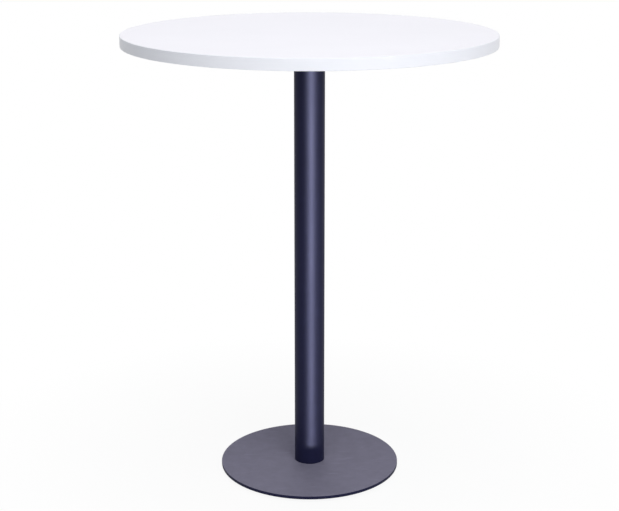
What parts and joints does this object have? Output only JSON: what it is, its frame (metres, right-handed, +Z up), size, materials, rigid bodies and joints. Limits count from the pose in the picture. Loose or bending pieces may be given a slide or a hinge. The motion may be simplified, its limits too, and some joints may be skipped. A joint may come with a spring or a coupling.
{
  "type": "pub table",
  "caption": "Tall round table: white laminated top on a folded-arm spider, a slim round steel column and a flat steel disc base with screw levellers.",
  "frame": {"origin": "centre of the floor under the base, with the levellers screwed in", "axes": "+Z up along the column's axis; +X and +Y each along an arm of the spider and through a leveller; -Y to the front"},
  "size_m": [0.8999, 0.9, 1.11],
  "materials": {
    "powder_coated_steel": "satin",
    "coated_boss_steel": "satin",
    "nylon_pad": "matte",
    "zinc_plated_steel": "satin",
    "particle_board": "matte",
    "white_laminate": "satin",
    "backing_laminate": "matte",
    "white_edge_band": "satin"
  },
  "bodies": {
    "table": {"base_plate": "powder_coated_steel", "locating_boss": "coated_boss_steel", "column_tube": "powder_coated_steel", "tie_rod": "zinc_plated_steel", "tie_rod_washer": "zinc_plated_steel", "spring_washer": "zinc_plated_steel", "tie_rod_nut": "zinc_plated_steel", "spider_hub": "powder_coated_steel", "spider_spigot": "powder_coated_steel", "weld_beads": "powder_coated_steel", "top_board": "particle_board", "top_laminate": "white_laminate", "backing_laminate": "backing_laminate", "edge_band": "white_edge_band", "fixing_screws": "zinc_plated_steel", "spider_arm_1": "powder_coated_steel", "spider_arm_2": "powder_coated_steel", "spider_arm_3": "powder_coated_steel", "spider_arm_4": "powder_coated_steel"},
    "leveller_pad_1": {"leveller_pad_1": "nylon_pad"},
    "leveller_spindle_1": {"leveller_spindle_1": "zinc_plated_steel"},
    "leveller_pad_2": {"leveller_pad_2": "nylon_pad"},
    "leveller_spindle_2": {"leveller_spindle_2": "zinc_plated_steel"},
    "leveller_pad_3": {"leveller_pad_3": "nylon_pad"},
    "leveller_spindle_3": {"leveller_spindle_3": "zinc_plated_steel"},
    "leveller_pad_4": {"leveller_pad_4": "nylon_pad"},
    "leveller_spindle_4": {"leveller_spindle_4": "zinc_plated_steel"}
  },
  "joints": [
    {"name": "leveller_1_travel", "type": "slide", "parent": "table", "child": "leveller_pad_1", "axis": [0, 0, -1], "range_m": [0, 0.003]},
    {"name": "leveller_1_turn", "type": "hinge", "parent": "leveller_pad_1", "child": "leveller_spindle_1", "pos_m": [0.1875, 0, 0], "axis": [0, 0, -1], "range_deg": [0, 865]},
    {"name": "leveller_2_travel", "type": "slide", "parent": "table", "child": "leveller_pad_2", "axis": [0, 0, -1], "range_m": [0, 0.003]},
    {"name": "leveller_2_turn", "type": "hinge", "parent": "leveller_pad_2", "child": "leveller_spindle_2", "pos_m": [0, 0.1875, 0], "axis": [0, 0, -1], "range_deg": [0, 865]},
    {"name": "leveller_3_travel", "type": "slide", "parent": "table", "child": "leveller_pad_3", "axis": [0, 0, -1], "range_m": [0, 0.003]},
    {"name": "leveller_3_turn", "type": "hinge", "parent": "leveller_pad_3", "child": "leveller_spindle_3", "pos_m": [-0.1875, 0, 0], "axis": [0, 0, -1], "range_deg": [0, 865]},
    {"name": "leveller_4_travel", "type": "slide", "parent": "table", "child": "leveller_pad_4", "axis": [0, 0, -1], "range_m": [0, 0.003]},
    {"name": "leveller_4_turn", "type": "hinge", "parent": "leveller_pad_4", "child": "leveller_spindle_4", "pos_m": [0, -0.1875, 0], "axis": [0, 0, -1], "range_deg": [0, 865]}
  ],
  "couplings": [
    {"joint": "leveller_1_turn", "follows": "leveller_1_travel", "rad_per_m": 5026.5},
    {"joint": "leveller_2_turn", "follows": "leveller_2_travel", "rad_per_m": 5026.5},
    {"joint": "leveller_3_turn", "follows": "leveller_3_travel", "rad_per_m": 5026.5},
    {"joint": "leveller_4_turn", "follows": "leveller_4_travel", "rad_per_m": 5026.5}
  ]
}
